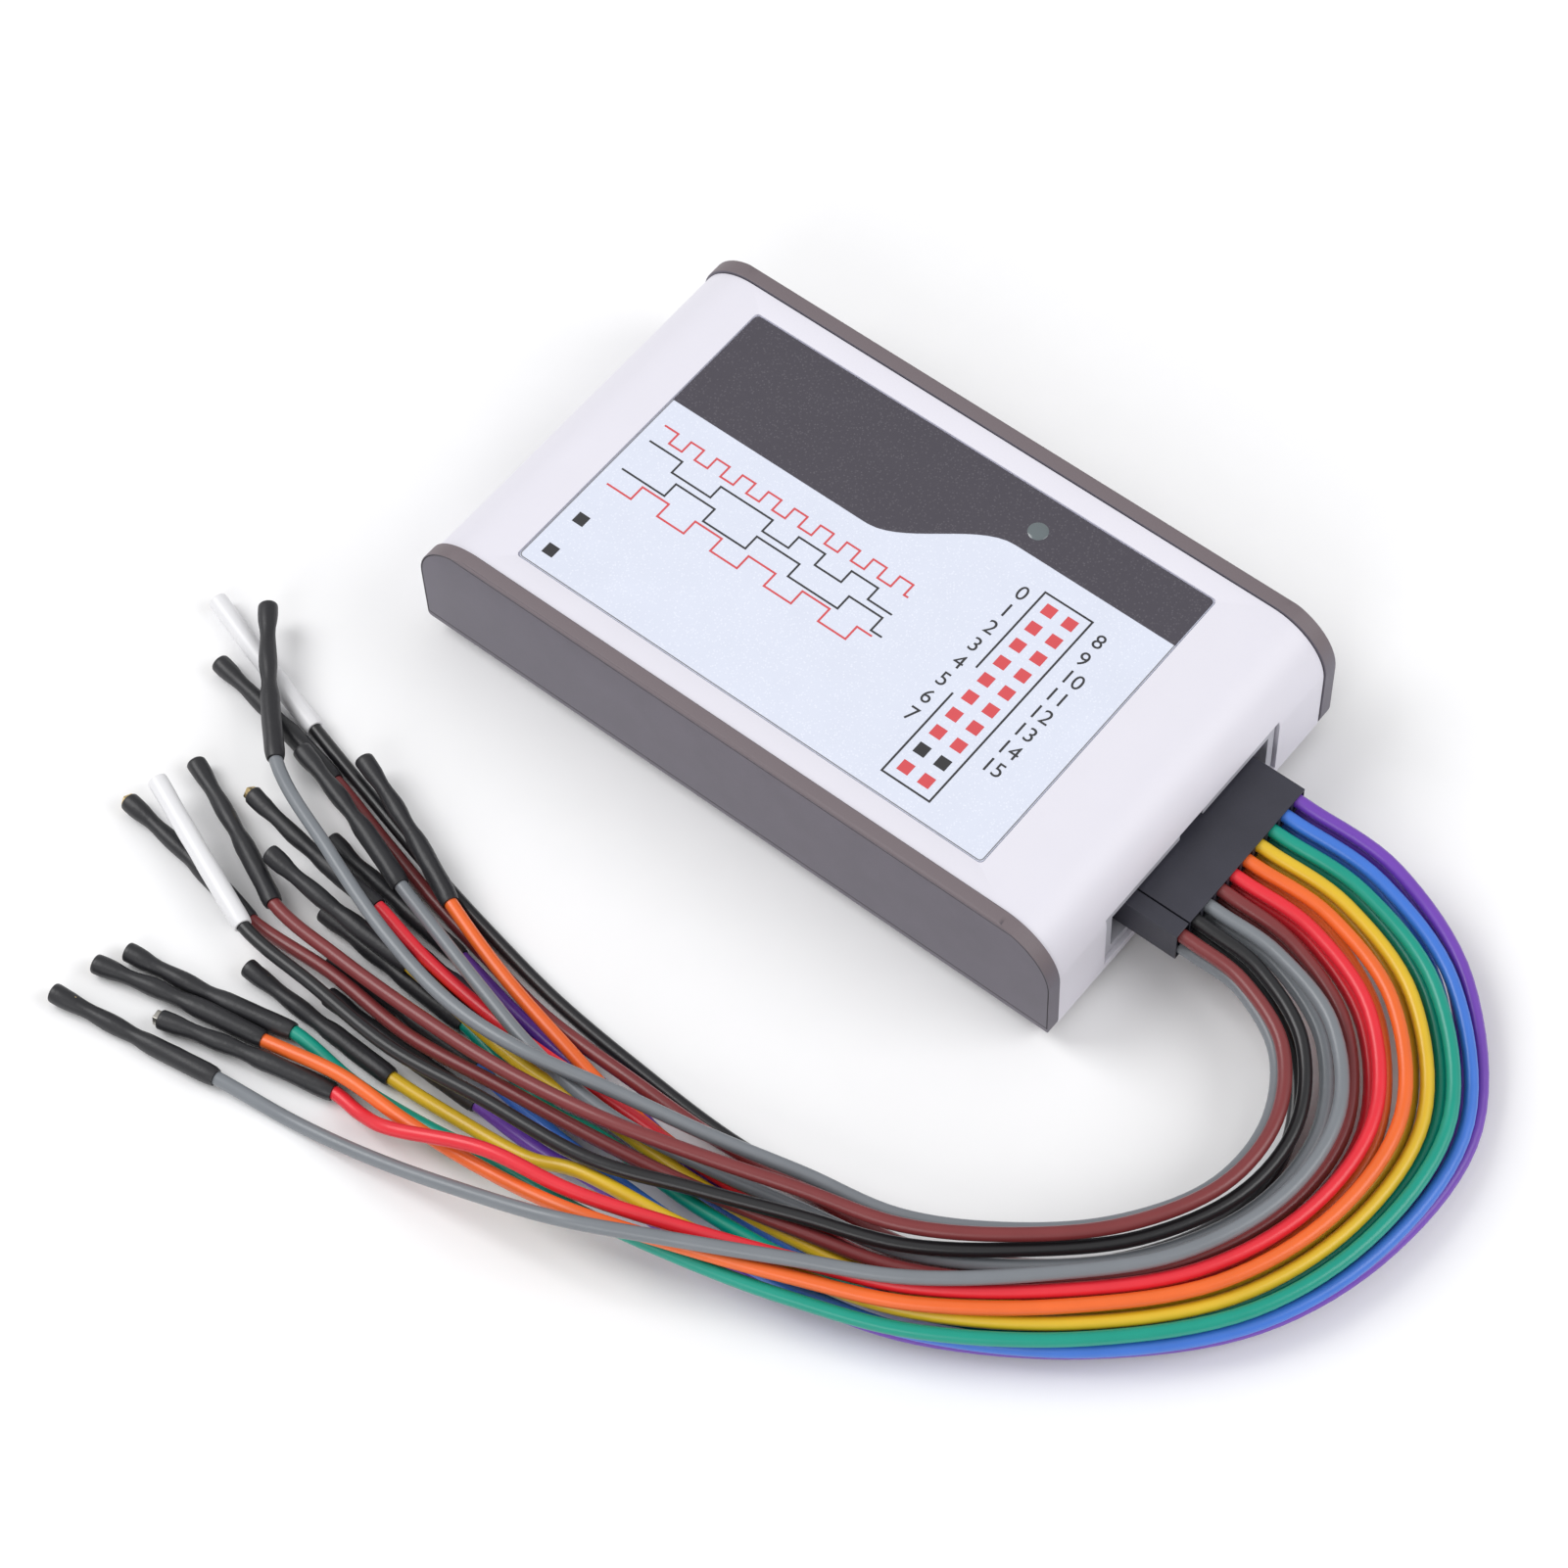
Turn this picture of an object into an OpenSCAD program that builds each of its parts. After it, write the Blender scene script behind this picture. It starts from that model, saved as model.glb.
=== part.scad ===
// Handheld logic analyzer: a two-shell plastic box with a probe header in one end,
// a USB socket in the other, and a 20-lead probe harness plugged into the header.
// X runs along the box towards the probe header, Z is up, the origin is at the
// bottom centre of the box, on the surface that its rubber feet stand on.

/* [Case] */
// Length of the lower shell
case_l = 95; // [90:0.5:120]
// Width over both grey side walls
case_w = 56; // [54:0.5:70]
// Height from the table to the top of the side walls
case_h = 20; // [19:0.5:26]
// Thickness of the white shell
wall = 2; // [1.6:0.1:2.4]
// Thickness of the grey side walls, seen from above as a rim
rim_w = 2; // [1.6:0.1:2.4]
// Radius of the top edge at both ends
end_top_r = 8; // [6:0.5:9]
// Radius of the bottom edges
bottom_r = 3; // [2:0.5:3]
// Thickness of the floor
floor_t = 1.6; // [1.4:0.1:2]
// Gap that shows between the two shells
seam = 0.15; // [0.1:0.05:0.3]

/* [Label] */
// Length of the face label
label_l = 69.4; // [60:0.2:76]
// Width of the face label
label_w = 45.2; // [40:0.2:46]
// How far the label sits towards the USB end
label_shift = 1.2; // [0:0.1:2]
// Diameter of the status lens
lens_d = 2.6; // [2:0.1:4]

/* [Probe connector] */
// Pin pitch
pitch = 2.54; // [2.54]
// Pin columns of the header
columns = 10; // [10]
// Length of a plug housing
plug_l = 14; // [13:0.5:15]
// Height of a two-row plug housing
plug_h = 5.1; // [5:0.1:5.2]
// How far the plugs stand out of the front end
plug_out = 6.8; // [6:0.1:8]

/* [Leads] */
// Outer diameter of a silicone lead
lead_d = 1.7; // [1.4:0.1:1.8]
// Length of a shrink sleeve
sleeve_l = 23; // [20:0.5:23]
// Outer diameter of a shrink sleeve
sleeve_d = 2.5; // [2.2:0.1:2.5]

/* [Hidden] */
$fn = 48;

// ---- case ----
foot_h = 1;
foot_d = 9;
foot_recess = 0.5;
foot_x = 39;
foot_y = 12;
floor_z = foot_h - foot_recess;
floor_top = floor_z + floor_t;
white_l = case_l - 0.4;
white_top = case_h - 0.3;
inner_w = case_w - 2 * rim_w;
white_w = inner_w - 2 * seam;
ceiling_z = white_top - wall;
rail_w = 1.2;
rail_h = 1;
rail_l = case_l - 4 * end_top_r;
post_x = white_l / 2 - wall - 4;
post_y = inner_w / 2 - 4;
post_d = 6.4;
post_top = floor_top + 2.4;
boss_d = 5.4;
screw_d = 2;
screw_head_d = 3.8;
screw_head_h = 1.3;
screw_head_z = floor_z + 0.9;
screw_tip_z = post_top + 6;
screw_gap = 0.05;

// ---- label ----
label_t = 0.3;
label_r = 0.6;
label_recess = 0.4;
label_z = white_top - label_recess;
lens_x = 11;
lens_y = 17.8;
lens_gap = 0.05;

// ---- circuit board ----
board_t = 1.2;
standoff_h = 0.5;
standoff_d = 5;
board_z = floor_top + standoff_h;
board_top = board_z + board_t;
board_l = white_l - 2 * wall - 0.6;
board_w = inner_w - 2;
notch_x = 8;
notch_y = 7;
board_screw_x = 33;
board_screw_y = 21;
board_screw_head_d = 3.6;
board_screw_head_h = 1.2;
board_screw_tip = floor_z + 0.6;

// ---- header and plugs ----
header_w = 33.1;
header_h = 9.1;
header_x = white_l / 2 - 0.4;
header_back_t = 2;
socket_w = 30.6;
socket_h = 6.4;
key_w = 4.5;
axis_z = board_top + header_h / 2;
row_z = [axis_z - pitch / 2, axis_z + pitch / 2];
pin_w = 0.64;
pin_tip_x = header_x - 1;
pin_tail_z = floor_top + 0.1;
pin_hole_d = 1;
slot_gap = 0.4;
slot_w = header_w + 2 * slot_gap;
slot_h = header_h + 2 * slot_gap;
plug_gap = 0.3;
plug_rear_x = white_l / 2 + plug_out;
plug_front_x = plug_rear_x - plug_l;
cavity_w = 2;
cavity_front = 2;
pin_entry_w = 1;
contact_w = 1.9;
contact_bore_w = 0.74;
contact_bore_l = 6.4;
housing_gap = 0.1;
socket_back_x = plug_front_x - plug_gap;
header_back_x = socket_back_x - header_back_t;
leg_x = [header_back_x - 1.2, header_back_x - 1.2 - pitch];

// ---- USB socket ----
usb_w = 7.7;
usb_h = 3.9;
usb_l = 9.2;
usb_sheet = 0.4;
usb_x = 0.4 - white_l / 2;
usb_window_w = 10;
usb_window_h = 5.6;
tongue_w = 5;
tongue_h = 0.9;

// ---- chips and small parts ----
logic_x = 1;
logic_w = 20;
logic_legs = 18;
logic_leg_pitch = 1;
spacer_top = 11.5;
led_leg = 1.27;
led_hole_d = 0.9;

// ---- leads ----
lead_start_x = 51;
lead_out_x = 56;
lead_sides = 8;
lead_steps = 3;
contact_front_x = plug_front_x + cavity_front;
// The leads' points are chosen for plugs whose back is at plug_home_x.
plug_home_x = 54.1;
harness_shift = plug_rear_x - plug_home_x;
contact_l = lead_start_x + harness_shift - contact_front_x;
sleeve_t = 0.2;
tip_bore_d = sleeve_d - 2 * sleeve_t;
tip_bore_l = 7;
tip_contact_d = tip_bore_d - 0.1;
tip_contact_out = 0.8;
tip_contact_bore = tip_contact_d - 0.9;
tip_contact_bore_l = 6;

// The bundle: its inner and outer edge, from the plugs round the bend to where the
// leads part. Each lead keeps to one layer and moves between lanes, 0 on the inner edge
// and 1 on the outer one.
INNER_EDGE = [[63, -12], [71, -16.5], [75.5, -25], [75, -35], [69, -45], [60, -53], [49, -58],
    [37, -59], [25, -60], [13, -60]];
OUTER_EDGE = [[68, 12], [82, 6], [93, -8], [94, -26], [88, -43], [75, -57], [60, -68],
    [46, -74], [33, -78], [20, -81]];
bend = 5;
settled = 2;
lowest_layer = 1;
layer_step = 1.75;

// Each lead: its name, its colour, its column and row in the header, its layer, its lanes
// in the bend and where the leads part, the points from there to its sleeve, and the
// point that its sleeve points at.
LEADS = [
    ["black_2", "black", 1, 0, 0, [0.1, 0],
        [[0, -59, 1], [-12, -57, 1], [-24, -54.5, 1], [-36, -51.5, 1], [-48, -48.5, 1.5]],
        [-70, -42, 1.5]],
    ["purple_1", "rebeccapurple", 9, 0, 0, [0.75, 0.2],
        [[5, -64, 1], [-4, -63, 1], [-13, -61.5, 1.5]],
        [-36, -59, 1.5]],
    ["brown_3", "brown", 3, 0, 1, [0.15, 0.1],
        [[0, -61.5, 1.5], [-11, -59.5, 1], [-21, -57.5, 1], [-31, -55, 1], [-41, -52.5, 1.5]],
        [-64, -48.5, 1.5]],
    ["orange_1", "darkorange", 5, 0, 1, [0.5, 0.25],
        [[4, -63.5, 3.5], [-7, -61, 3.5], [-18, -57.5, 3.5]],
        [-38, -49.5, 3.5]],
    ["blue_1", "royalblue", 8, 0, 1, [0.75, 0.35],
        [[10, -66.5, 2], [4, -66, 1.5], [-2, -65.5, 1.5]],
        [-26, -64, 1.5]],
    ["purple_2", "rebeccapurple", 9, 1, 1, [1, 0.7],
        [[12, -75, 1.5], [7, -75, 1], [1, -75, 1.5]],
        [-22, -75, 1.5]],
    ["red_1", "red", 4, 0, 2, [0.5, 0.3],
        [[3, -66.5, 4.5], [-7, -66, 4], [-16, -65, 4], [-24, -63.5, 4.5]],
        [-48, -60.5, 3]],
    ["yellow_1", "gold", 6, 0, 2, [0.65, 0.4],
        [[4, -69, 4.5], [-7, -68, 4], [-16, -67, 4]],
        [-38, -66, 4.5]],
    ["green_1", "seagreen", 7, 0, 2, [0.85, 0.5],
        [[9, -71, 3], [1, -69.5, 1.5], [-7, -68, 1.5]],
        [-28, -67, 1.5]],
    ["blue_2", "royalblue", 8, 1, 2, [1.05, 0.65],
        [[11, -73, 3], [4, -72, 1.5], [-2, -71.5, 1.5]],
        [-29, -71, 1.5]],
    ["grey_3", "slategray", 2, 0, 3, [0.3, 0.4],
        [[4, -67.5, 6.5], [-6, -65, 6], [-16, -62, 5], [-24, -59.5, 4]],
        [-45, -53, 4]],
    ["brown_2", "brown", 3, 1, 3, [0.45, 0.55],
        [[3, -73, 5.5], [-10, -74, 4], [-23, -73, 3], [-36, -73, 1.5]],
        [-58, -70, 1.5]],
    ["yellow_2", "gold", 6, 1, 3, [0.85, 0.75],
        [[11, -77.5, 4], [1, -78, 2], [-9, -78.5, 1.5]],
        [-30, -78, 1.5]],
    ["green_2", "seagreen", 7, 1, 3, [1, 0.95],
        [[8, -80, 3.5], [-2, -81, 2], [-12, -81.5, 1], [-22, -81, 1.5]],
        [-44, -85, 1.5]],
    ["grey_1", "slategray", 0, 0, 4, [0, 0.3],
        [[3, -69, 8.5], [-8, -69, 7.5], [-20, -66.5, 7], [-33, -62, 6.5], [-47, -56, 5]],
        [-63, -40, 4]],
    ["black_1", "black", 1, 1, 4, [0.2, 0.7],
        [[3, -76, 7], [-10, -77, 5.5], [-23, -76, 4.5], [-35, -75, 4]],
        [-57, -66.5, 4.5]],
    ["red_2", "red", 4, 1, 4, [0.6, 0.9],
        [[8, -81, 8], [-3, -84.5, 5], [-8, -84.5, 2.5], [-13, -84, 1.5]],
        [-34, -89, 1.5]],
    ["orange_2", "darkorange", 5, 1, 4, [0.75, 1],
        [[8, -82, 5], [-3, -82.5, 4], [-13, -82.5, 3.5], [-24, -84, 1.5]],
        [-46, -88.5, 1.5]],
    ["brown_1", "brown", 0, 1, 5, [0.12, 0.5],
        [[3, -72, 8], [-10, -72, 6], [-23, -71.5, 4.5], [-35, -70, 2.5]],
        [-56, -61, 1.5]],
    ["grey_2", "slategray", 2, 1, 5, [0.5, 1.1],
        [[8, -86, 6], [-3, -88, 3], [-14, -89.5, 1], [-25, -91, 1.5]],
        [-48, -94.5, 1.5]],
];

// ---- routes of the leads ----
function unit(v) = v / norm(v);
function mix(a, b, share) = a + (b - a) * share;
function pin_y(column) = (column - (columns - 1) / 2) * pitch;
function lane(lead, i) =
    i < bend ? mix(lead[2] / (columns - 1), lead[5][0], i / bend)
    : mix(lead[5][0], lead[5][1], (i - bend) / (len(INNER_EDGE) - 1 - bend));
function height(lead, i) =
    mix(row_z[lead[3]], lowest_layer + lead[4] * layer_step, min(1, (i + 1) / (settled + 1)));
function in_bundle(lead, i) =
    let (place = mix(INNER_EDGE[i], OUTER_EDGE[i], lane(lead, i)))
    [place[0], place[1], height(lead, i)];
function route(lead) =
    let (y = pin_y(lead[2]), z = row_z[lead[3]])
    concat(
        [[lead_start_x, y, z], [lead_out_x, y, z]],
        [for (i = [0:len(INNER_EDGE) - 1]) in_bundle(lead, i)],
        lead[6]
    );
function last(points) = points[len(points) - 1];
function sleeve_direction(lead) = unit(lead[7] - last(lead[6]));
function between(a, b, c, d, t) =
    0.5 * (2 * b + (c - a) * t + (2 * a - 5 * b + 4 * c - d) * t * t
    + (3 * b - a - 3 * c + d) * t * t * t);
function smooth(lead) =
    let (
        points = route(lead),
        n = len(points),
        step = norm(points[n - 1] - points[n - 2]),
        ends = concat([2 * points[0] - points[1]], points,
            [points[n - 1] + step * sleeve_direction(lead)])
    )
    concat(
        [for (i = [0:n - 2], k = [0:lead_steps - 1])
            between(ends[i], ends[i + 1], ends[i + 2], ends[i + 3], k / lead_steps)],
        [points[n - 1]]
    );
function heading(path, i, lead) =
    i == 0 ? [1, 0, 0]
    : i == len(path) - 1 ? sleeve_direction(lead)
    : unit(path[i + 1] - path[i - 1]);
function ring(centre, along) =
    let (side = unit(cross(along, [0, 0, 1])), up = cross(side, along))
    [for (k = [0:lead_sides - 1])
        let (a = (k + 0.5) * 360 / lead_sides)
        centre + lead_d / 2 * (cos(a) * side + sin(a) * up)];

// ---- shared shapes ----
// Outline of the box seen from its long side: rounded at the top and at the foot.
module end_profile(l, h, top_r, foot_r) {
    translate([-l / 2, foot_r]) square([l, h - top_r - foot_r]);
    translate([-l / 2 + top_r, h - top_r]) square([l - 2 * top_r, top_r]);
    for (side = [-1, 1]) translate([side * (l / 2 - top_r), h - top_r]) circle(top_r);
    if (foot_r > 0) {
        translate([-l / 2 + foot_r, 0]) square([l - 2 * foot_r, foot_r]);
        for (side = [-1, 1]) translate([side * (l / 2 - foot_r), foot_r]) circle(foot_r);
    }
}

module along_width(w) {
    translate([0, w / 2, 0]) rotate([90, 0, 0]) linear_extrude(w) children();
}

module along_length(l) {
    translate([-l / 2, 0, 0]) rotate([90, 0, 90]) linear_extrude(l) children();
}

module at_corners(x, y) {
    for (sx = [-1, 1], sy = [-1, 1]) translate([sx * x, sy * y, 0]) children();
}

module rounded_plate(l, w, r, t) {
    linear_extrude(t) {
        square([l - 2 * r, w], center = true);
        square([l, w - 2 * r], center = true);
        for (sx = [-1, 1], sy = [-1, 1])
            translate([sx * (l / 2 - r), sy * (w / 2 - r)]) circle(r);
    }
}

// Block centred on x and y that stands on the circuit board.
module on_board(x, y, size) {
    translate([x - size[0] / 2, y - size[1] / 2, board_top]) cube(size);
}

// Chip body with gull-wing legs along both long sides.
module legged_chip(x, y, l, w, h, legs, leg_pitch, leg_w, reach) {
    translate([x, y, board_top]) {
        translate([-l / 2, -w / 2, 0.1]) cube([l, w, h]);
        for (k = [0:legs - 1], side = [-1, 1])
            translate([(k - (legs - 1) / 2) * leg_pitch - leg_w / 2, 0, 0])
                leg(side, w / 2, leg_w, reach, h);
    }
}

module leg(side, start, leg_w, reach, h) {
    mirror([0, side < 0 ? 1 : 0, 0]) {
        translate([0, start, 0]) cube([leg_w, reach, 0.2]);
        translate([0, start + reach * 0.4, 0]) cube([leg_w, 0.2, h * 0.6]);
        translate([0, start - 0.1, h * 0.6 - 0.2]) cube([leg_w, reach * 0.4 + 0.3, 0.2]);
    }
}

// ---- case ----
module base_shell() {
    color("dimgray") {
        difference() {
            intersection() {
                translate([0, 0, floor_z]) along_width(case_w)
                    end_profile(case_l, case_h - floor_z, end_top_r, bottom_r);
                translate([0, 0, floor_z]) along_length(case_l)
                    end_profile(case_w, case_h - floor_z, 0.4, bottom_r);
            }
            translate([-case_l, -inner_w / 2, floor_top]) cube([2 * case_l, inner_w, case_h]);
            base_holes();
        }
        difference() {
            translate([0, 0, floor_top]) at_corners(post_x, post_y)
                cylinder(d = post_d, h = post_top - floor_top);
            base_holes();
        }
        difference() {
            translate([0, 0, floor_top]) at_corners(board_screw_x, board_screw_y)
                cylinder(d = standoff_d, h = standoff_h);
            base_holes();
        }
        for (side = [-1, 1])
            translate([-rail_l / 2, side * (inner_w / 2 - rail_w / 2) - rail_w / 2, ceiling_z - rail_h])
                cube([rail_l, rail_w, rail_h]);
    }
}

module base_holes() {
    at_corners(post_x, post_y) {
        cylinder(d = screw_d + 2 * screw_gap, h = case_h);
        cylinder(d = screw_head_d + 4 * screw_gap, h = screw_head_z + screw_head_h);
    }
    at_corners(foot_x, foot_y) cylinder(d = foot_d + 2 * screw_gap, h = foot_h);
    translate([0, 0, board_screw_tip]) at_corners(board_screw_x, board_screw_y)
        cylinder(d = screw_d + 2 * screw_gap, h = case_h);
}

module top_shell() {
    color("whitesmoke") {
        difference() {
            translate([0, 0, floor_top]) along_width(white_w) difference() {
                end_profile(white_l, white_top - floor_top, end_top_r, 0);
                translate([0, -1]) end_profile(white_l - 2 * wall,
                    ceiling_z - floor_top + 1, end_top_r - wall, 0);
            }
            translate([-label_shift, 0, label_z])
                rounded_plate(label_l + 2 * seam, label_w + 2 * seam, label_r, case_h);
            translate([lens_x, lens_y, 0]) cylinder(d = lens_d + 2 * lens_gap, h = case_h);
            translate([0, -slot_w / 2, axis_z - slot_h / 2]) cube([case_l, slot_w, slot_h]);
            translate([-case_l, -usb_window_w / 2, board_top + usb_h / 2 - usb_window_h / 2])
                cube([case_l, usb_window_w, usb_window_h]);
        }
        difference() {
            translate([0, 0, post_top]) at_corners(post_x, post_y)
                cylinder(d = boss_d, h = ceiling_z + 0.4 - post_top);
            at_corners(post_x, post_y)
                cylinder(d = screw_d + 2 * screw_gap, h = screw_tip_z + 0.5);
        }
    }
}

module face_label() {
    color("lavender") difference() {
        translate([-label_shift, 0, label_z]) rounded_plate(label_l, label_w, label_r, label_t);
        translate([lens_x, lens_y, 0]) cylinder(d = lens_d + 2 * lens_gap, h = case_h);
    }
}

module status_lens() {
    color("slategray") translate([lens_x, lens_y, ceiling_z])
        cylinder(d = lens_d, h = label_z + label_t - ceiling_z);
}

// Thread-forming screws that come up through the floor into the bosses.
module case_screws() {
    color("silver") at_corners(post_x, post_y) difference() {
        union() {
            translate([0, 0, screw_head_z]) cylinder(d = screw_head_d, h = screw_head_h);
            translate([0, 0, screw_head_z]) cylinder(d = screw_d, h = screw_tip_z - screw_head_z);
        }
        translate([0, 0, screw_head_z]) cube([2.2, 0.6, 1.6], center = true);
        translate([0, 0, screw_head_z]) cube([0.6, 2.2, 1.6], center = true);
    }
}

module board_screws() {
    color("silver") at_corners(board_screw_x, board_screw_y) difference() {
        union() {
            translate([0, 0, board_top]) cylinder(d = board_screw_head_d, h = board_screw_head_h);
            translate([0, 0, board_screw_tip])
                cylinder(d = screw_d, h = board_top + 0.5 - board_screw_tip);
        }
        translate([0, 0, board_top + board_screw_head_h]) cube([2, 0.6, 1.2], center = true);
        translate([0, 0, board_top + board_screw_head_h]) cube([0.6, 2, 1.2], center = true);
    }
}

module rubber_feet() {
    color("black") at_corners(foot_x, foot_y) cylinder(d = foot_d, h = foot_h);
}

// ---- circuit board and its parts ----
module circuit_board() {
    color("darkgreen") difference() {
        translate([-board_l / 2, -board_w / 2, board_z]) cube([board_l, board_w, board_t]);
        at_corners(board_l / 2 - notch_x / 2 + 0.5, board_w / 2 - notch_y / 2 + 0.5)
            translate([0, 0, board_top])
                cube([notch_x + 1, notch_y + 1, 4 * board_t], center = true);
        for (column = [0:columns - 1], x = leg_x)
            translate([x, pin_y(column), 0]) cylinder(d = pin_hole_d, h = case_h);
        for (side = [-1, 1])
            translate([lens_x + side * led_leg, lens_y, 0]) cylinder(d = led_hole_d, h = case_h);
        at_corners(board_screw_x, board_screw_y) cylinder(d = screw_d + 4 * screw_gap, h = case_h);
    }
}

// Shrouded right-angle box header; the key slot is in its top wall.
module probe_header() {
    color("gainsboro") difference() {
        translate([header_back_x, -header_w / 2, board_top])
            cube([header_x - header_back_x, header_w, header_h]);
        translate([socket_back_x, -socket_w / 2, axis_z - socket_h / 2])
            cube([header_w, socket_w, socket_h]);
        translate([socket_back_x, -key_w / 2, axis_z]) cube([header_w, key_w, header_h]);
        for (column = [0:columns - 1], z = row_z)
            translate([header_back_x, pin_y(column), z]) cube([4 * header_back_t, pin_w, pin_w], center = true);
    }
}

module header_pins() {
    color("gold") for (column = [0:columns - 1], row = [0, 1]) translate([0, pin_y(column), 0]) {
        translate([leg_x[row] - pin_w / 2, -pin_w / 2, row_z[row] - pin_w / 2])
            cube([pin_tip_x - leg_x[row] + pin_w / 2, pin_w, pin_w]);
        translate([leg_x[row] - pin_w / 2, -pin_w / 2, pin_tail_z])
            cube([pin_w, pin_w, row_z[row] - pin_tail_z]);
    }
}

module usb_socket() {
    color("silver") difference() {
        translate([usb_x, -usb_w / 2, board_top]) cube([usb_l, usb_w, usb_h]);
        translate([usb_x - 1, -usb_w / 2 + usb_sheet, board_top + usb_sheet])
            cube([usb_l + 1 - usb_sheet, usb_w - 2 * usb_sheet, usb_h - 2 * usb_sheet]);
    }
}

module usb_tongue() {
    color("black") translate([usb_x + 1.5, -tongue_w / 2, board_top + usb_h / 2 - tongue_h / 2])
        cube([usb_l - usb_sheet - 1.5, tongue_w, tongue_h]);
}

module logic_chip() {
    color("black") translate([logic_x, 0, 0]) {
        on_board(0, 0, [logic_w, logic_w, 0.1]);
        translate([0, 0, 0.1]) on_board(0, 0, [logic_w, logic_w, 1.4]);
        for (turn = [0, 90]) rotate([0, 0, turn]) translate([0, 0, board_top])
            for (k = [0:logic_legs - 1], side = [-1, 1])
                translate([(k - (logic_legs - 1) / 2) * logic_leg_pitch - 0.15, 0, 0])
                    leg(side, logic_w / 2, 0.3, 1, 1.4);
    }
}

module usb_controller() {
    color("black") on_board(-25, 5, [8, 8, 0.9]);
}

module memory_chip() {
    color("black") legged_chip(-8, -17, 18, 8, 1.1, 18, 0.95, 0.4, 0.8);
}

module comparator_chips() {
    color("black") for (y = [-13, -4.5, 4.5, 13]) legged_chip(27, y, 5, 4.4, 0.9, 8, 0.6, 0.3, 0.9);
}

module clock_crystal() {
    color("silver") translate([-25, -8, board_top]) linear_extrude(3.4) {
        square([6.7, 4.5], center = true);
        for (side = [-1, 1]) translate([side * 3.35, 0]) circle(2.25);
    }
}

module status_led() {
    color("honeydew") translate([lens_x, lens_y, 0]) {
        translate([0, 0, spacer_top]) cylinder(d = 3.8, h = 1);
        translate([0, 0, spacer_top]) cylinder(d = 3, h = 4);
        translate([0, 0, spacer_top + 4]) sphere(d = 3);
        for (side = [-1, 1])
            translate([side * led_leg - 0.2, -0.2, floor_top + 0.2])
                cube([0.4, 0.4, spacer_top + 0.5 - floor_top]);
    }
}

module led_spacer() {
    color("black") translate([lens_x, lens_y, board_top]) difference() {
        cylinder(d = 4.4, h = spacer_top - board_top);
        translate([0, 0, -1]) cylinder(d = 3.4, h = spacer_top);
    }
}

module input_resistors() {
    color("black") for (row = [0:7]) on_board(31.6, (row - 3.5) * 3.8, [1.6, 3.2, 0.6]);
}

module small_capacitors() {
    color("tan") {
        for (row = [0:4], x = [-14.5, 16.5]) on_board(x, (row - 2) * 4, [1.25, 2, 1.2]);
        for (row = [0:3]) on_board(-34 + row * 3, 12, [1.25, 2, 1.2]);
    }
}

module tantalum_capacitors() {
    color("goldenrod") for (x = [-26, -4]) on_board(x, 17, [7.3, 4.3, 2.8]);
}

module voltage_regulator() {
    color("black") {
        on_board(-37, -12, [6.5, 3.5, 1.7]);
        on_board(-37, -9.8, [3.1, 1.8, 0.4]);
        for (k = [-1:1]) on_board(-37 + k * 2.3, -14.2, [0.7, 1.6, 0.4]);
    }
}

module power_inductor() {
    color("gray") {
        on_board(-27, -17, [6, 6, 0.8]);
        translate([-27, -17, board_top]) cylinder(d = 5.6, h = 2.8);
    }
}

module resettable_fuse() {
    color("khaki") on_board(-34.5, -6.5, [4.5, 3.2, 1]);
}

module config_memory() {
    color("black") legged_chip(-14, 18, 5, 3.9, 1.4, 4, 1.27, 0.45, 1);
}

// ---- plugs and harness ----
module housing(first, count) {
    translate([plug_front_x, pin_y(first) - pitch / 2 + housing_gap, axis_z - plug_h / 2])
        cube([plug_l, count * pitch - 2 * housing_gap, plug_h]);
}

module plug_holes() {
    for (column = [0:columns - 1], z = row_z) translate([0, pin_y(column), z]) {
        translate([contact_front_x, -cavity_w / 2, -cavity_w / 2]) cube([plug_l, cavity_w, cavity_w]);
        translate([plug_front_x, 0, 0]) cube([3 * cavity_front, pin_entry_w, pin_entry_w], center = true);
    }
}

module main_plug() {
    color("black") difference() {
        housing(1, columns - 1);
        plug_holes();
    }
}

module output_plug() {
    color("black") difference() {
        housing(0, 1);
        plug_holes();
    }
}

module plug_contacts() {
    color("silver") for (column = [0:columns - 1], z = row_z) translate([contact_front_x, pin_y(column), z])
        difference() {
            translate([0, -contact_w / 2, -contact_w / 2]) cube([contact_l, contact_w, contact_w]);
            cube([2 * contact_bore_l, contact_bore_w, contact_bore_w], center = true);
        }
}

// Carries the harness along when the plugs stand somewhere else on the table.
module with_plug() {
    translate([harness_shift, 0, 0]) children();
}

module lead(l) {
    path = smooth(l);
    rings = len(path);
    points = [for (i = [0:rings - 1]) each ring(path[i], heading(path, i, l))];
    n = lead_sides;
    color(l[1]) polyhedron(points, concat(
        [[for (k = [0:n - 1]) k]],
        [for (i = [0:rings - 2], k = [0:n - 1])
            [i * n + k, (i + 1) * n + k, (i + 1) * n + (k + 1) % n]],
        [for (i = [0:rings - 2], k = [0:n - 1])
            [i * n + k, (i + 1) * n + (k + 1) % n, i * n + (k + 1) % n]],
        [[for (k = [n - 1:-1:0]) (rings - 1) * n + k]]
    ));
}

// Moves a shape drawn along +Z to the end of a lead, along its sleeve.
module at_sleeve(l) {
    d = sleeve_direction(l);
    translate(last(l[6])) rotate([0, acos(d[2]), atan2(d[1], d[0])]) children();
}

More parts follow.
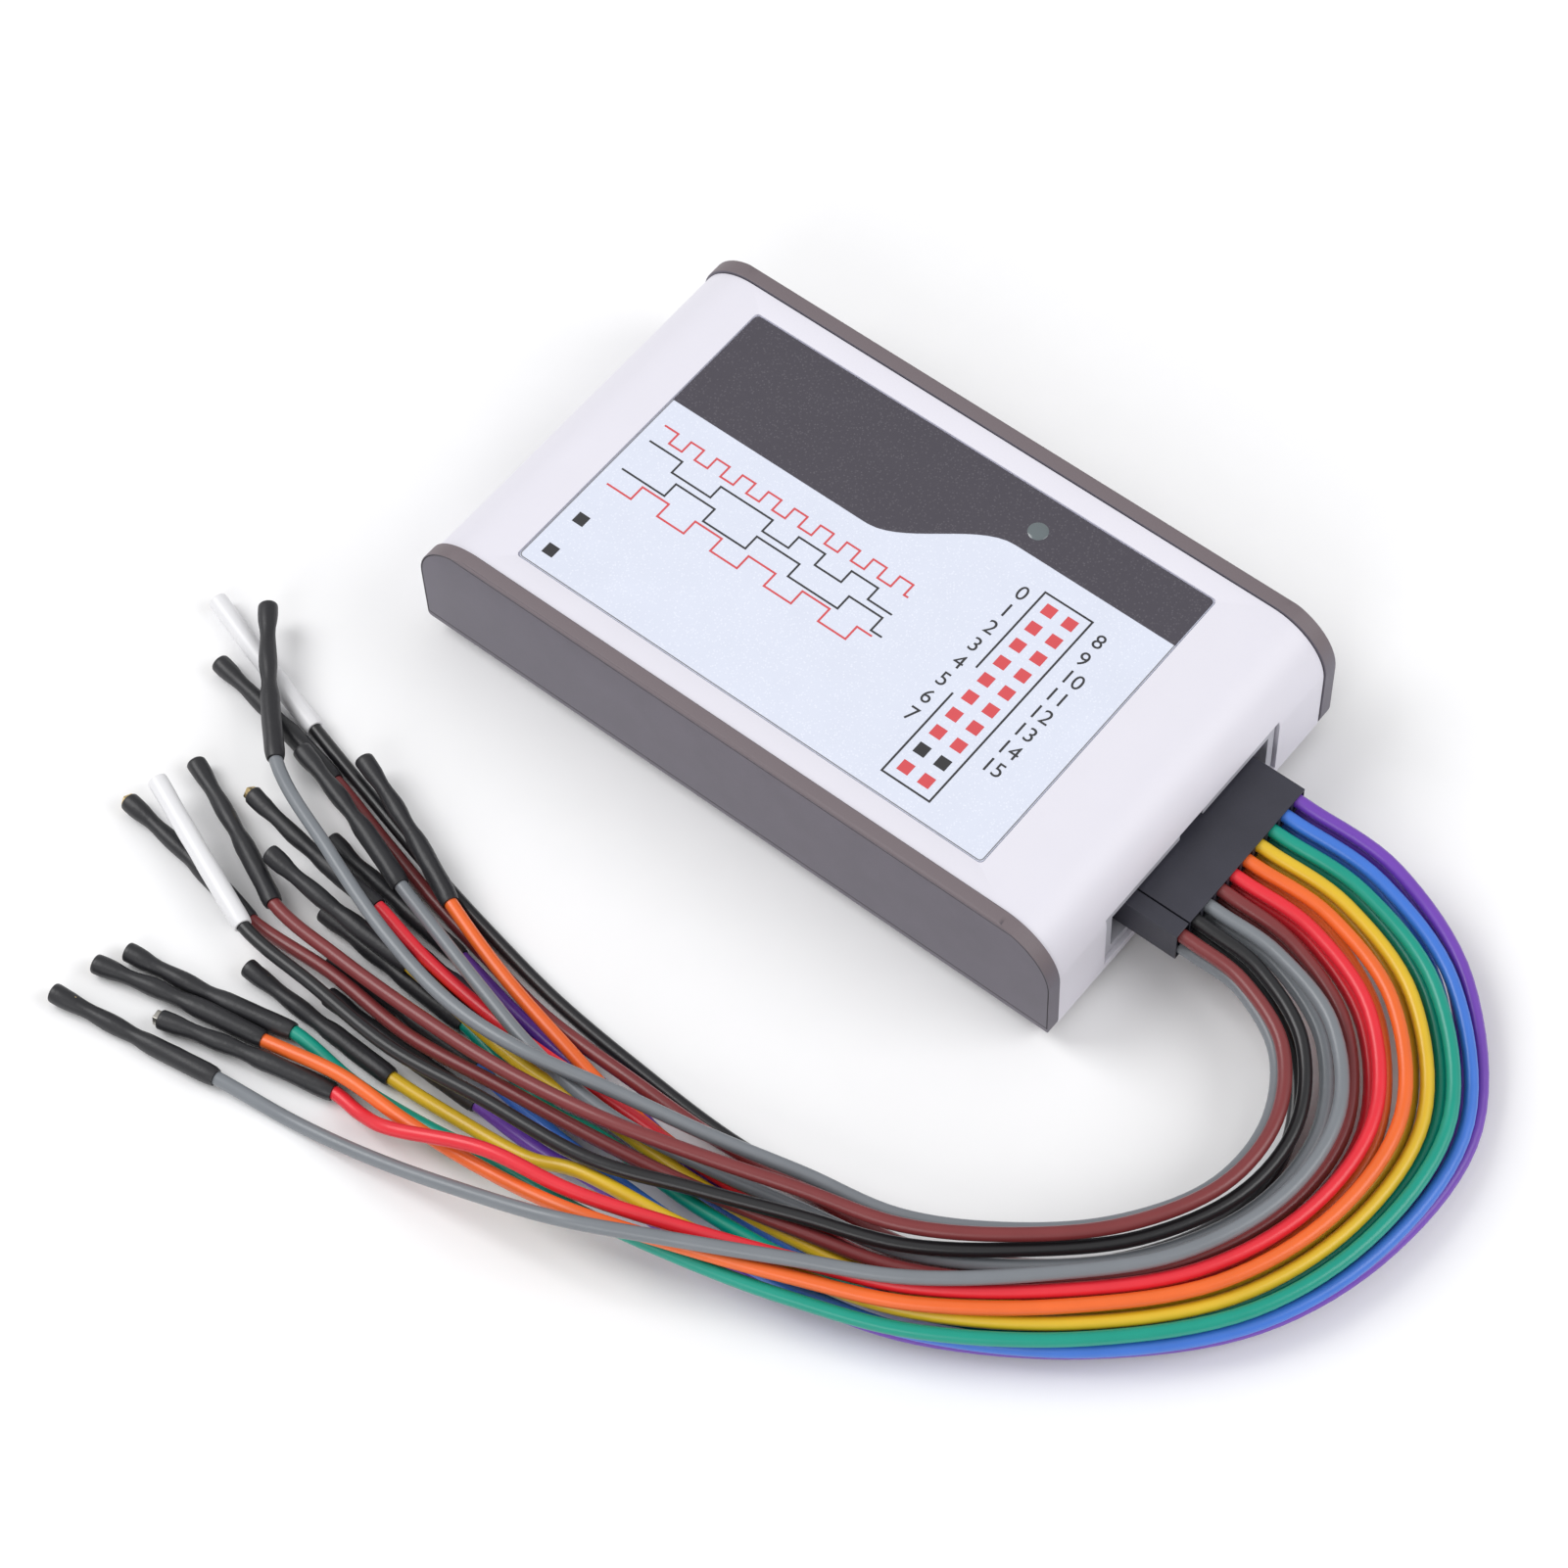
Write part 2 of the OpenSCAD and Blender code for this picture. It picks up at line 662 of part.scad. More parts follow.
// Shrunk tube: wide over the crimp, a neck in front of it, a flared mouth.
module sleeve() {
    r = sleeve_d / 2;
    bottom = sleeve_l - tip_bore_l;
    rotate_extrude() polygon([
        [0, 0], [r - 0.15, 0], [r, 1.5], [r, 10], [r - 0.2, 13], [r - 0.1, bottom],
        [r, bottom + 1.5], [r, sleeve_l - 0.5], [r - 0.1, sleeve_l], [tip_bore_d / 2, sleeve_l],
        [tip_bore_d / 2, bottom], [0, bottom]
    ]);
}

module black_sleeves() {
    color("black") with_plug() for (l = LEADS) if (l[1] != "black") at_sleeve(l) sleeve();
}

module white_sleeves() {
    color("white") with_plug() for (l = LEADS) if (l[1] == "black") at_sleeve(l) sleeve();
}

module probe_contacts() {
    color("gold") with_plug() for (l = LEADS) at_sleeve(l) difference() {
        translate([0, 0, sleeve_l - tip_bore_l])
            cylinder(d = tip_contact_d, h = tip_bore_l + tip_contact_out);
        translate([0, 0, sleeve_l + tip_contact_out - tip_contact_bore_l])
            cylinder(d = tip_contact_bore, h = tip_contact_bore_l + 1);
    }
}

base_shell();
top_shell();
face_label();
status_lens();
case_screws();
board_screws();
rubber_feet();
circuit_board();
probe_header();
header_pins();
usb_socket();
usb_tongue();
logic_chip();
usb_controller();
memory_chip();
comparator_chips();
clock_crystal();
status_led();
led_spacer();
input_resistors();
small_capacitors();
tantalum_capacitors();
voltage_regulator();
power_inductor();
resettable_fuse();
config_memory();
main_plug();
output_plug();
plug_contacts();
for (l = LEADS)
    with_plug() lead(l);
black_sleeves();
white_sleeves();
probe_contacts();
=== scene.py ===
import math

import bmesh
import bpy
from mathutils import Matrix, Vector, noise


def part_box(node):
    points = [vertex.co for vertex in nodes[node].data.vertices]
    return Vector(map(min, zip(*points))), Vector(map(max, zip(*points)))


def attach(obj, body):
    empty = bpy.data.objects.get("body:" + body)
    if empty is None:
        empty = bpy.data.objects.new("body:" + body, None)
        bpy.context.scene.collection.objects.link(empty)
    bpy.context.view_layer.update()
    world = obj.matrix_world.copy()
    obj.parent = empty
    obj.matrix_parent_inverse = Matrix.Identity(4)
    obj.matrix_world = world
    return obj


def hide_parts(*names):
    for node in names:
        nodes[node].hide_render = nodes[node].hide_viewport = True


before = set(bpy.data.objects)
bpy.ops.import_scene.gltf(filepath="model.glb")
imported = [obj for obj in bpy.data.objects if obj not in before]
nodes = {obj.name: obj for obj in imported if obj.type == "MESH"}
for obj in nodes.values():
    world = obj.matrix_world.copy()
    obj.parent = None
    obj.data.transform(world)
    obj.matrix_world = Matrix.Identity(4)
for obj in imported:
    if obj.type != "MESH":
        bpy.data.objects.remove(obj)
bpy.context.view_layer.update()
mm = 0.001


# ---- Camera ----
# A long lens above the near long side of the box, looking down on the label, so that the
# box lies across the view and the leads loop round in front of it.
camera = bpy.data.objects.new("camera", bpy.data.cameras.new("camera"))
bpy.context.scene.collection.objects.link(camera)
bpy.context.scene.camera = camera
camera.data.lens = 101
camera.location = Vector((185.5, -226, 449.5)) * mm
sight_line = Vector((5.3, -23.7, 10)) * mm - camera.location
roll = Matrix.Rotation(math.radians(-3.3), 4, "Z")
turn = sight_line.to_track_quat("-Z", "Y").to_matrix().to_4x4()
camera.matrix_world = Matrix.Translation(camera.location) @ turn @ roll


# ---- Silicone leads ----
# Soft stranded wires in silicone. They leave the back of the plugs in two rows, turn round
# in a loose bundle on the table and part in front of the box. Each keeps to one layer of
# the bundle and moves between its inner and its outer edge.
inner_edge = [(63, -12), (71, -16.5), (75.5, -25), (75, -35), (69, -45), (60, -53), (49, -58),
              (37, -59), (25, -60), (13, -60)]
outer_edge = [(68, 12), (82, 6), (93, -8), (94, -26), (88, -43), (75, -57), (60, -68),
              (46, -74), (33, -78), (20, -81)]
bend = 5
settled = 2
lowest_layer = 1
layer_step = 1.75
columns = 10
pitch = 2.54
row_heights = (7.08, 9.62)
lead_start = 51
lead_out = 56
lead_d = 1.7
plug_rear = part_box("main_plug")[1].x / mm

# Name, column, row, layer, lanes in the bend and where the leads part, points from there
# to the sleeve, point that the sleeve points at.
leads = [
    ("black_2", 1, 0, 0, (0.1, 0),
     [(0, -59, 1), (-12, -57, 1), (-24, -54.5, 1), (-36, -51.5, 1), (-48, -48.5, 1.5)],
     (-70, -42, 1.5)),
    ("purple_1", 9, 0, 0, (0.75, 0.2),
     [(5, -64, 1), (-4, -63, 1), (-13, -61.5, 1.5)], (-36, -59, 1.5)),
    ("brown_3", 3, 0, 1, (0.15, 0.1),
     [(0, -61.5, 1.5), (-11, -59.5, 1), (-21, -57.5, 1), (-31, -55, 1), (-41, -52.5, 1.5)],
     (-64, -48.5, 1.5)),
    ("orange_1", 5, 0, 1, (0.5, 0.25),
     [(4, -63.5, 3.5), (-7, -61, 3.5), (-18, -57.5, 3.5)], (-38, -49.5, 3.5)),
    ("blue_1", 8, 0, 1, (0.75, 0.35),
     [(10, -66.5, 2), (4, -66, 1.5), (-2, -65.5, 1.5)], (-26, -64, 1.5)),
    ("purple_2", 9, 1, 1, (1, 0.7),
     [(12, -75, 1.5), (7, -75, 1), (1, -75, 1.5)], (-22, -75, 1.5)),
    ("red_1", 4, 0, 2, (0.5, 0.3),
     [(3, -66.5, 4.5), (-7, -66, 4), (-16, -65, 4), (-24, -63.5, 4.5)], (-48, -60.5, 3)),
    ("yellow_1", 6, 0, 2, (0.65, 0.4),
     [(4, -69, 4.5), (-7, -68, 4), (-16, -67, 4)], (-38, -66, 4.5)),
    ("green_1", 7, 0, 2, (0.85, 0.5),
     [(9, -71, 3), (1, -69.5, 1.5), (-7, -68, 1.5)], (-28, -67, 1.5)),
    ("blue_2", 8, 1, 2, (1.05, 0.65),
     [(11, -73, 3), (4, -72, 1.5), (-2, -71.5, 1.5)], (-29, -71, 1.5)),
    ("grey_3", 2, 0, 3, (0.3, 0.4),
     [(4, -67.5, 6.5), (-6, -65, 6), (-16, -62, 5), (-24, -59.5, 4)], (-45, -53, 4)),
    ("brown_2", 3, 1, 3, (0.45, 0.55),
     [(3, -73, 5.5), (-10, -74, 4), (-23, -73, 3), (-36, -73, 1.5)], (-58, -70, 1.5)),
    ("yellow_2", 6, 1, 3, (0.85, 0.75),
     [(11, -77.5, 4), (1, -78, 2), (-9, -78.5, 1.5)], (-30, -78, 1.5)),
    ("green_2", 7, 1, 3, (1, 0.95),
     [(8, -80, 3.5), (-2, -81, 2), (-12, -81.5, 1), (-22, -81, 1.5)], (-44, -85, 1.5)),
    ("grey_1", 0, 0, 4, (0, 0.3),
     [(3, -69, 8.5), (-8, -69, 7.5), (-20, -66.5, 7), (-33, -62, 6.5), (-47, -56, 5)],
     (-63, -40, 4)),
    ("black_1", 1, 1, 4, (0.2, 0.7),
     [(3, -76, 7), (-10, -77, 5.5), (-23, -76, 4.5), (-35, -75, 4)], (-57, -66.5, 4.5)),
    ("red_2", 4, 1, 4, (0.6, 0.9),
     [(8, -81, 8), (-3, -84.5, 5), (-8, -84.5, 2.5), (-13, -84, 1.5)], (-34, -89, 1.5)),
    ("orange_2", 5, 1, 4, (0.75, 1),
     [(8, -82, 5), (-3, -82.5, 4), (-13, -82.5, 3.5), (-24, -84, 1.5)], (-46, -88.5, 1.5)),
    ("brown_1", 0, 1, 5, (0.12, 0.5),
     [(3, -72, 8), (-10, -72, 6), (-23, -71.5, 4.5), (-35, -70, 2.5)], (-56, -61, 1.5)),
    ("grey_2", 2, 1, 5, (0.5, 1.1),
     [(8, -86, 6), (-3, -88, 3), (-14, -89.5, 1), (-25, -91, 1.5)], (-48, -94.5, 1.5)),
]
silicone_colours = {
    "brown": (0.19, 0.03, 0.032), "grey": (0.185, 0.2, 0.22), "black": (0.012, 0.012, 0.014),
    "red": (0.74, 0.02, 0.036), "orange": (0.8, 0.135, 0.02), "yellow": (0.7, 0.46, 0.02),
    "green": (0.0, 0.29, 0.21), "blue": (0.045, 0.17, 0.62), "purple": (0.155, 0.048, 0.41),
}


def surface_finish(name, colour, roughness, grain, depth, mottle=0.08, metallic=0.0, coat=0.0):
    """A surface whose colour and gloss drift a little, under a fine bumpy grain."""
    material = bpy.data.materials.new(name)
    material.use_nodes = True
    tree = material.node_tree
    surface = tree.nodes["Principled BSDF"]
    surface.inputs["Metallic"].default_value = metallic
    surface.inputs["Coat Weight"].default_value = coat
    surface.inputs["Coat Roughness"].default_value = 0.2
    place = tree.nodes.new("ShaderNodeTexCoord")
    drift = tree.nodes.new("ShaderNodeTexNoise")
    drift.inputs["Scale"].default_value = 180
    drift.inputs["Detail"].default_value = 4
    tree.links.new(place.outputs["Object"], drift.inputs["Vector"])
    tint = tree.nodes.new("ShaderNodeMix")
    tint.data_type = "RGBA"
    tint.inputs["A"].default_value = (*[value * (1 - mottle) for value in colour], 1)
    tint.inputs["B"].default_value = (*[min(1, value * (1 + mottle)) for value in colour], 1)
    tree.links.new(drift.outputs["Fac"], tint.inputs["Factor"])
    tree.links.new(tint.outputs["Result"], surface.inputs["Base Color"])
    gloss = tree.nodes.new("ShaderNodeMapRange")
    gloss.inputs["To Min"].default_value = roughness - 0.05
    gloss.inputs["To Max"].default_value = roughness + 0.05
    tree.links.new(drift.outputs["Fac"], gloss.inputs["Value"])
    tree.links.new(gloss.outputs["Result"], surface.inputs["Roughness"])
    speckle = tree.nodes.new("ShaderNodeTexNoise")
    speckle.inputs["Scale"].default_value = 1 / (grain * mm)
    speckle.inputs["Detail"].default_value = 2
    tree.links.new(place.outputs["Object"], speckle.inputs["Vector"])
    bump = tree.nodes.new("ShaderNodeBump")
    bump.inputs["Strength"].default_value = 0.6
    bump.inputs["Distance"].default_value = depth * mm
    tree.links.new(speckle.outputs["Fac"], bump.inputs["Height"])
    tree.links.new(bump.outputs["Normal"], surface.inputs["Normal"])
    return material


def lane(column, lanes, station):
    """Share of the way from the inner edge of the bundle to its outer edge."""
    first = column / (columns - 1)
    if station < bend:
        return first + (lanes[0] - first) * station / bend
    return lanes[0] + (lanes[1] - lanes[0]) * (station - bend) / (len(inner_edge) - 1 - bend)


def lead_route(column, row, layer, lanes, tail):
    """The points that a lead passes through, from its contact to its sleeve."""
    y = (column - (columns - 1) / 2) * pitch
    start_height = row_heights[row]
    points = [Vector((lead_start, y, start_height)), Vector((lead_out, y, start_height))]
    for station, (inner, outer) in enumerate(zip(inner_edge, outer_edge)):
        place = Vector(inner).lerp(Vector(outer), lane(column, lanes, station))
        share = min(1, (station + 1) / (settled + 1))
        drop = (lowest_layer + layer * layer_step - start_height) * share
        points.append(Vector((place.x, place.y, start_height + drop)))
    return points + [Vector(point) for point in tail]


def smooth_line(points, end_direction, steps):
    """A curve through every point, with several short steps between each two."""
    last_step = (points[-1] - points[-2]).length
    ends = [2 * points[0] - points[1], *points, points[-1] + last_step * end_direction]
    line = []
    for a, b, c, d in zip(ends, ends[1:], ends[2:], ends[3:]):
        for step in range(steps):
            t = step / steps
            line.append(0.5 * (2 * b + (c - a) * t + (2 * a - 5 * b + 4 * c - d) * t * t
                               + (3 * b - a - 3 * c + d) * t ** 3))
    return line + [points[-1]]


silicone = {
    colour: surface_finish("silicone_" + colour, rgb, 0.36, 0.7, 0.02, 0.1, coat=0.12)
    for colour, rgb in silicone_colours.items()
}
cords = {}
for name, column, row, layer, lanes, tail, aim in leads:
    route = lead_route(column, row, layer, lanes, tail)
    direction = (Vector(aim) - route[-1]).normalized()
    line = [point * mm for point in smooth_line(route, direction, 8)]
    curve = bpy.data.curves.new("silicone_" + name, "CURVE")
    curve.dimensions = "3D"
    curve.bevel_depth = lead_d / 2 * mm
    curve.bevel_resolution = 6
    curve.use_fill_caps = True
    spline = curve.splines.new("POLY")
    spline.points.add(len(line) - 1)
    for point, place in zip(spline.points, line):
        point.co = (*place, 1)
    lead = bpy.data.objects.new("silicone_" + name, curve)
    bpy.context.scene.collection.objects.link(lead)
    curve.materials.append(silicone[name.split("_")[0]])
    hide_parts("lead_" + name)
    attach(lead, "harness")
    length = sum((b - a).length for a, b in zip(line, line[1:]))
    leave = Vector((plug_rear, route[0].y, route[0].z)) * mm
    cords[name] = (lead, leave, length)


# ---- Shrink sleeves ----
# Shrunk tubing over the crimp of each lead, in black, with white on the two ground leads:
# fat over the wire, then a neck, then a wider stretch and a flared mouth. Spun round the
# sleeve's axis, dented with noise as heat leaves such tubing, and bowed a little.
sleeve_l = 23
sleeve_r = 1.25
back_r = 0.88
mouth_r = 1.02
mouth_depth = 2.4
flare = 1
dent = 0.13
bow = 0.35
straighter = 0.3
twist = 0.9


def shaded_mesh(name, shape, material):
    """Turns a bmesh drawn in metres into an object, smooth but for its real edges."""
    mesh = bpy.data.meshes.new(name)
    shape.to_mesh(mesh)
    shape.free()
    piece = bpy.data.objects.new(name, mesh)
    bpy.context.scene.collection.objects.link(piece)
    mesh.materials.append(material)
    mesh.shade_smooth()
    mesh.set_sharp_from_angle(angle=math.radians(35))
    return piece


def finished_piece(name, shape, material, body, replaced=()):
    """Turns a bmesh drawn in millimetres into a piece that rides on a body."""
    bmesh.ops.scale(shape, vec=(mm, mm, mm), verts=shape.verts)
    piece = shaded_mesh(name, shape, material)
    if replaced:
        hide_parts(*replaced)
    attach(piece, body)
    return piece


def spun(profile, sides):
    """A closed shape: the profile's (radius, height) points spun round the upright axis."""
    shape = bmesh.new()
    points = [shape.verts.new((radius, 0, height)) for radius, height in profile]
    edges = [shape.edges.new(pair) for pair in zip(points, points[1:])]
    bmesh.ops.spin(shape, geom=points + edges, cent=(0, 0, 0), axis=(0, 0, 1),
                   angle=2 * math.pi, steps=sides, use_merge=True)
    bmesh.ops.remove_doubles(shape, verts=shape.verts, dist=0.001)
    bmesh.ops.recalc_face_normals(shape, faces=shape.faces)
    return shape


def along(start, aim, turn):
    """Places a shape drawn up the Z axis so that it runs from start towards aim."""
    direction = Vector(aim) - Vector(start)
    return (Matrix.Translation(start) @ direction.to_track_quat("Z", "Y").to_matrix().to_4x4()
            @ Matrix.Rotation(turn, 4, "Z"))


sleeve_black = surface_finish("sleeve_black", (0.017, 0.017, 0.02), 0.42, 0.6, 0.05, 0.25)
sleeve_white = surface_finish("sleeve_white", (0.75, 0.75, 0.77), 0.34, 0.6, 0.02, 0.03)
for index, (name, *_, tail, aim) in enumerate(leads):
    ground = name.startswith("black")
    bottom = sleeve_l - mouth_depth
    neck = 0.06 if ground else 0.28
    profile = [(back_r, 0), (sleeve_r - 0.15, 0.02), (sleeve_r - 0.05, 0.5), (sleeve_r, 1.4)]
    profile += [(sleeve_r, height) for height in (3, 4.5, 6, 7.5, 9)]
    profile += [(sleeve_r - neck * share, height) for share, height in (
        (0.3, 10), (0.85, 11), (1, 11.8), (0.75, 12.8), (0.35, 14), (0.3, 15.2),
        (0.6, 16.4), (0.95, 17.6), (1, 18.6), (0.7, 19.6), (0.2, 20.6), (0, 21.6),
        (0, 22.5), (0.15, 22.9), (0.4, sleeve_l))]
    profile += [(mouth_r, sleeve_l), (mouth_r, bottom), (0, bottom)]
    shape = spun(profile, 24)
    for vert in shape.verts:
        radius = math.hypot(vert.co.x, vert.co.y)
        inside = vert.co.z > bottom - 0.01 and radius < mouth_r + 0.01
        if not inside:
            spot = Vector((vert.co.x * 0.7 + index * 7, vert.co.y * 0.7, vert.co.z * 0.3))
            deepest = 0.015 if ground else dent
            shrink = 1 - deepest * max(0, noise.noise(spot) + 0.15)
            rim = max(0, (vert.co.z - sleeve_l + flare) / flare)
            vert.co.x *= shrink + (1 - shrink) * rim
            vert.co.y *= shrink + (1 - shrink) * rim
        sideways = bow * math.sin(math.pi * vert.co.z / sleeve_l)
        vert.co.x += sideways * (straighter if ground else 1)
    place = along(tail[-1], aim, index * twist)
    bmesh.ops.transform(shape, matrix=place, verts=shape.verts)
    finished_piece(
        "sleeve_" + name, shape, sleeve_white if ground else sleeve_black, "harness",
        ["white_sleeves"] if ground else ["black_sleeves"])


# ---- Socket contacts ----
# A square folded tube with eased corners and a square hole for the pin, in the mouth of
# each sleeve. Gold-plated, but plain tin on one lead. Its end lies flush with the mouth
# on most leads and stands out of it on a few. A box, bevelled, inset and hollowed.
contact_gold = surface_finish("contact_gold", (0.78, 0.6, 0.3), 0.25, 0.4, 0.01, 0.12,
                              metallic=1.0)
contact_silver = surface_finish("contact_silver", (0.62, 0.6, 0.55), 0.28, 0.4, 0.01, 0.12,
                                metallic=1.0)
standing_out = {"red_1": 0.8, "red_2": 0.75, "brown_2": 0.5, "orange_2": 0.15}
flush = 0.05
contact_w = 1.4
contact_l = 3.2
contact_wall = 0.26
contact_ease = 0.14
hole_depth = 2
for index, (name, *_, tail, aim) in enumerate(leads):
    shape = bmesh.new()
    top = sleeve_l + standing_out.get(name, flush)
    bmesh.ops.create_cube(shape, size=1, matrix=(
        Matrix.Translation((0, 0, top - contact_l / 2))
        @ Matrix.Diagonal((contact_w, contact_w, contact_l, 1))))
    bmesh.ops.bevel(shape, geom=shape.edges[:], affect="EDGES", offset=contact_ease,
                    segments=2, profile=0.5, material=-1)
    mouth = [max(shape.faces, key=lambda face: face.calc_center_median().z)]
    bmesh.ops.inset_individual(shape, faces=mouth, thickness=contact_wall - contact_ease,
                               use_even_offset=True)
    hole = bmesh.ops.extrude_discrete_faces(shape, faces=mouth)["faces"]
    bmesh.ops.translate(shape, vec=(0, 0, -hole_depth), verts=hole[0].verts)
    place = along(tail[-1], aim, index * twist)
    bmesh.ops.transform(shape, matrix=place, verts=shape.verts)
    metal = contact_silver if name == "red_2" else contact_gold
    contact = finished_piece("contact_" + name, shape, metal, "harness",
                             ["probe_contacts"])
    lead, leave, length = cords[name]


# ---- Plugs ----
# Two black moulded crimp housings side by side: a wide one for the inputs and ground, and
# a two-way one for the outputs at the near end, with a folded tin contact in each way.
# The housings are copies of the CAD shapes with their edges eased.
def eased_copy(node, name, material, width, detail=None):
    """A copy of a CAD node with its edges eased by a bevel, after any detail is cut in."""
    shape = bmesh.new()
    shape.from_mesh(nodes[node].data)
    bmesh.ops.remove_doubles(shape, verts=shape.verts, dist=0.002 * mm)
    bmesh.ops.dissolve_limit(shape, angle_limit=math.radians(0.5), verts=shape.verts,
                             edges=shape.edges)
    for face in shape.faces:
        face.material_index = 0
    if detail:
        detail(shape)
    piece = shaded_mesh(name, shape, material)
    bevel = piece.modifiers.new("eased_edges", "BEVEL")
    bevel.width = width * mm
    bevel.segments = 2
    bevel.limit_method = "ANGLE"
    bevel.angle_limit = math.radians(40)
    bevel.use_clamp_overlap = True
    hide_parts(node)
    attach(piece, "harness" if "plug" in node else "case")
    return piece


def refinish(material, *names):
    """Gives CAD nodes that keep their shape their finish."""
    for name in names:
        for slot in nodes[name].material_slots:
            slot.material = material


moulded_ease = 0.12
plug_black = surface_finish("plug_black", (0.034, 0.034, 0.048), 0.45, 0.35, 0.03, 0.2)
eased_copy("main_plug", "input_plug", plug_black, moulded_ease)
eased_copy("output_plug", "generator_plug", plug_black, moulded_ease)
contact_tin = surface_finish("contact_tin", (0.62, 0.6, 0.56), 0.32, 0.4, 0.01, 0.1, metallic=1.0)
refinish(contact_tin, "plug_contacts")


# ---- Case shells ----
# The white shell is a folded-over U with a satin moulded skin. The grey one wraps round its
# long sides and stands a little proud as a rim. Its upward faces get a warmer tint as painted
# light, standing in for the light that falls on them from above. It has a fine spark-eroded
# grain. Both are eased copies of the CAD shapes.
shell_white = surface_finish("shell_white", (0.72, 0.705, 0.775), 0.42, 0.5, 0.012, 0.015)
shell_grey = surface_finish("shell_grey", (0.15, 0.138, 0.168), 0.55, 0.22, 0.05, 0.16)
tree = shell_grey.node_tree
surface = tree.nodes["Principled BSDF"]
# Painted light: faces that turn upward get a warmer tint, standing in for light from above.
facing = tree.nodes.new("ShaderNodeNewGeometry")
upward = tree.nodes.new("ShaderNodeSeparateXYZ")
tree.links.new(facing.outputs["Normal"], upward.inputs["Vector"])
share = tree.nodes.new("ShaderNodeMapRange")
share.inputs["From Min"].default_value = 0.1
share.inputs["From Max"].default_value = 0.6
tree.links.new(upward.outputs["Z"], share.inputs["Value"])
top_light_tint = tree.nodes.new("ShaderNodeMix")
top_light_tint.data_type = "RGBA"
top_light_tint.inputs["B"].default_value = (0.16, 0.13, 0.142, 1)
tree.links.new(surface.inputs["Base Color"].links[0].from_socket, top_light_tint.inputs["A"])
tree.links.new(share.outputs["Result"], top_light_tint.inputs["Factor"])
tree.links.new(top_light_tint.outputs["Result"], surface.inputs["Base Color"])
shell_shadow = surface_finish("shell_shadow", (0.035, 0.032, 0.036), 0.7, 0.3, 0.01, 0.1)
groove_from_edge = 0.12
groove_w = 0.14
groove_depth = 0.08
smallest_wall = 400


def grooved_walls(shape):
    """Scribes a fine groove along the outline of both outer side walls."""
    reach = max(abs(vert.co.y) for vert in shape.verts)
    walls = [face for face in shape.faces
             if abs(face.normal.y) > 0.99
             and abs(abs(face.calc_center_median().y) - reach) < 0.01 * mm
             and face.calc_area() > smallest_wall * mm * mm]
    bmesh.ops.inset_individual(shape, faces=walls, thickness=groove_from_edge * mm,
                               use_even_offset=True)
    groove = bmesh.ops.inset_individual(shape, faces=walls, thickness=groove_w / 2 * mm,
                                        depth=-groove_depth * mm, use_even_offset=True)["faces"]
    groove += bmesh.ops.inset_individual(shape, faces=walls, thickness=groove_w / 2 * mm,
                                         depth=groove_depth * mm, use_even_offset=True)["faces"]
    # The groove's faces take the dark shell_shadow finish: painted shade in the groove.
    for face in groove:
        face.material_index = 1


eased_copy("top_shell", "white_shell", shell_white, moulded_ease)
grey_shell = eased_copy("base_shell", "grey_shell", shell_grey,
                        moulded_ease, grooved_walls)
grey_shell.data.materials.append(shell_shadow)
rubber = surface_finish("foot_rubber", (0.03, 0.03, 0.03), 0.8, 0.4, 0.05, 0.2)
eased_copy("rubber_feet", "foot_pads", rubber, 0.2)
steel = surface_finish("screw_steel", (0.55, 0.55, 0.57), 0.3, 0.3, 0.01, 0.1, metallic=1.0)
refinish(steel, "case_screws", "board_screws", "usb_socket", "clock_crystal")


# ---- Face label ----
# A printed film in a shallow recess, pearly blue-white with a fine sparkle. A charcoal
# band runs along its far side, with a lower edge that rises in a soft S. A thin dark line
# runs round the film as painted shade, where the edge of the recess shades it. The band and
# the line are drawn flat and given their thickness.
label_low, label_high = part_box("face_label")
label_top = label_high.z / mm
print_t = 0.02
label_left = label_low.x / mm
label_right = label_high.x / mm
label_far = label_high.y / mm


def pearl(name, colour, sparkle, amount):
    """A printed film with a fine bright sparkle in it."""
    material = surface_finish(name, colour, 0.38, 0.3, 0.008, 0.03)
    tree = material.node_tree
    surface = tree.nodes["Principled BSDF"]
    place = tree.nodes.new("ShaderNodeTexCoord")
    fleck = tree.nodes.new("ShaderNodeTexVoronoi")
    fleck.inputs["Scale"].default_value = 2600
    tree.links.new(place.outputs["Object"], fleck.inputs["Vector"])
    share = tree.nodes.new("ShaderNodeMapRange")
    share.inputs["From Min"].default_value = 0.05
    share.inputs["From Max"].default_value = 0.35
    share.inputs["To Min"].default_value = amount
    share.inputs["To Max"].default_value = 0
    tree.links.new(fleck.outputs["Distance"], share.inputs["Value"])
    blend = tree.nodes.new("ShaderNodeMix")
    blend.data_type = "RGBA"
    blend.inputs["B"].default_value = (*sparkle, 1)
    tree.links.new(surface.inputs["Base Color"].links[0].from_socket, blend.inputs["A"])
    tree.links.new(share.outputs["Result"], blend.inputs["Factor"])
    tree.links.new(blend.outputs["Result"], surface.inputs["Base Color"])
    return material


label_pearl = pearl("label_pearl", (0.665, 0.70, 0.81), (0.82, 0.85, 0.93), 0.7)
label_charcoal = pearl("label_charcoal", (0.062, 0.056, 0.072), (0.17, 0.16, 0.18), 0.5)
eased_copy("face_label", "label_film", label_pearl, 0.05)

lens_low, lens_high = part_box("status_lens")
lens_centre = (lens_low + lens_high) / 2 / mm
lens_r = (lens_high.x - lens_low.x) / 2 / mm
band_low = 6.3
band_rise = 8.3
rise_start = -6
rise_l = 16
band_steps = 60
end_stretch = 1
corner_r = 0.6
margin = 0.06
edge_shade_w = 0.14


def band_edge(x):
    """Height of the band's lower edge: straight, a soft S, then straight again."""
    share = min(1, max(0, (x - rise_start) / rise_l))
    return band_low + band_rise * share * share * (3 - 2 * share)


